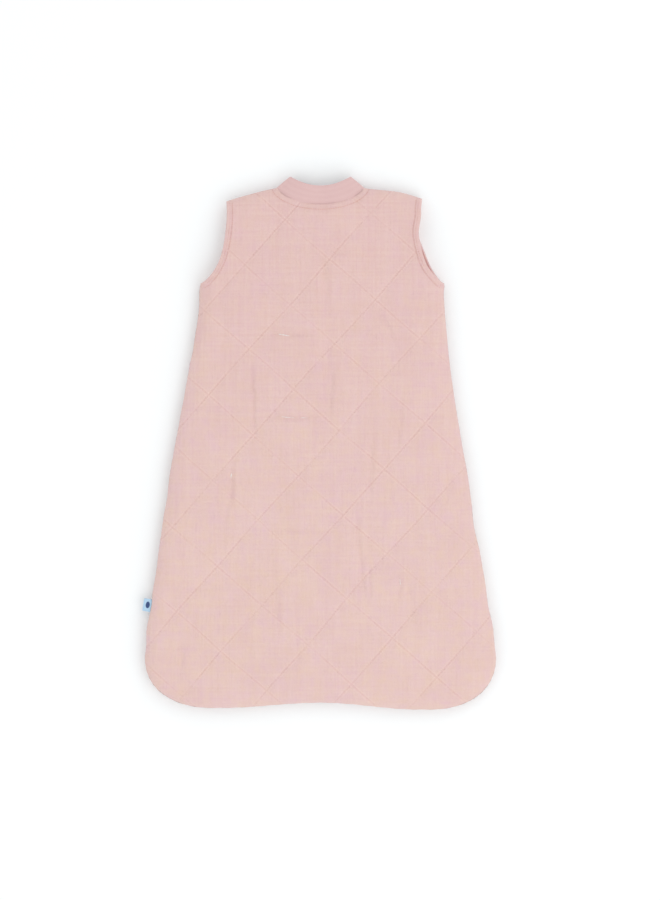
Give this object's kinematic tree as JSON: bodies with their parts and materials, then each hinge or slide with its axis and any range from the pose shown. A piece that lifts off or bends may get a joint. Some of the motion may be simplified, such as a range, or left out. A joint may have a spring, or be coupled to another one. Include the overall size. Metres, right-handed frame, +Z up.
{
  "type": "baby sleeping bag",
  "caption": "Sleeveless quilted baby sleeping bag lying flat, back up, with a rib collar, bound armholes, rounded hem, front zip and folding lapels.",
  "frame": {"origin": "middle of the bag in plan, on the surface it lies on", "axes": "+Y towards the collar along the bag's length, +X to the right of its back, +Z up out of its back"},
  "size_m": [0.461, 0.7, 0.026],
  "materials": {
    "muslin_outer": "crinkled cotton muslin, quilted",
    "muslin_lining": "soft cotton muslin",
    "seam_allowance": "overlocked muslin edges",
    "wadding": "polyester wadding",
    "rib_knit": "rib-knitted cotton",
    "zip_tape": "woven polyester tape",
    "zip_coil": "nylon coil",
    "zip_metal": "lacquered zinc",
    "side_label_satin": "folded satin",
    "neck_label_satin": "satin"
  },
  "bodies": {
    "bag": {"back_outer": "muslin_outer", "front_outer_left": "muslin_outer", "front_outer_right": "muslin_outer", "armhole_binding_back_left": "muslin_outer", "armhole_binding_back_right": "muslin_outer", "armhole_binding_front_left": "muslin_outer", "armhole_binding_front_right": "muslin_outer", "back_lining": "muslin_lining", "front_lining_left": "muslin_lining", "front_lining_right": "muslin_lining", "side_seam_left": "seam_allowance", "side_seam_right": "seam_allowance", "hem_seam": "seam_allowance", "shoulder_seam_left": "seam_allowance", "shoulder_seam_right": "seam_allowance", "back_wadding": "wadding", "front_wadding_left": "wadding", "front_wadding_right": "wadding", "collar_back": "rib_knit", "collar_side_left": "rib_knit", "collar_side_right": "rib_knit", "bottom_stop": "zip_metal", "side_label": "side_label_satin", "size_label": "neck_label_satin", "care_label": "neck_label_satin"},
    "slider": {"zip_slider": "zip_metal"},
    "pull": {"pull_tab": "zip_metal"},
    "left_lapel": {"lapel_outer_left": "muslin_outer", "lapel_wadding_left": "wadding", "lapel_lining_left": "muslin_lining", "collar_front_left": "rib_knit", "zip_tape_left": "zip_tape", "zip_coil_left": "zip_coil", "top_stop_left": "zip_metal"},
    "right_lapel": {"lapel_outer_right": "muslin_outer", "lapel_wadding_right": "wadding", "lapel_lining_right": "muslin_lining", "collar_front_right": "rib_knit", "zip_tape_right": "zip_tape", "zip_coil_right": "zip_coil", "top_stop_right": "zip_metal"}
  },
  "joints": [
    {"name": "zip_travel", "type": "slide", "parent": "bag", "child": "slider", "axis": [0, -1, 0], "range_m": [0, 0.555]},
    {"name": "pull_swing", "type": "hinge", "parent": "slider", "child": "pull", "pos_m": [0, 0.29803, 0.0015], "axis": [1, 0, 0], "range_deg": [0, 170]},
    {"name": "left_lapel_fold", "type": "hinge", "parent": "bag", "child": "left_lapel", "pos_m": [-0.0625, 0.336, 0], "axis": [-0.0836, 0.9965, 0], "range_deg": [0, 150], "deforming": ["zip_tape_left", "zip_coil_left"]},
    {"name": "right_lapel_fold", "type": "hinge", "parent": "bag", "child": "right_lapel", "pos_m": [0.0625, 0.336, 0], "axis": [-0.0836, -0.9965, 0], "range_deg": [0, 150], "deforming": ["zip_tape_right", "zip_coil_right"]}
  ],
  "couplings": [
    {"joint": "left_lapel_fold", "follows": "zip_travel", "rad_per_m": 4.7},
    {"joint": "right_lapel_fold", "follows": "zip_travel", "rad_per_m": 4.7}
  ]
}
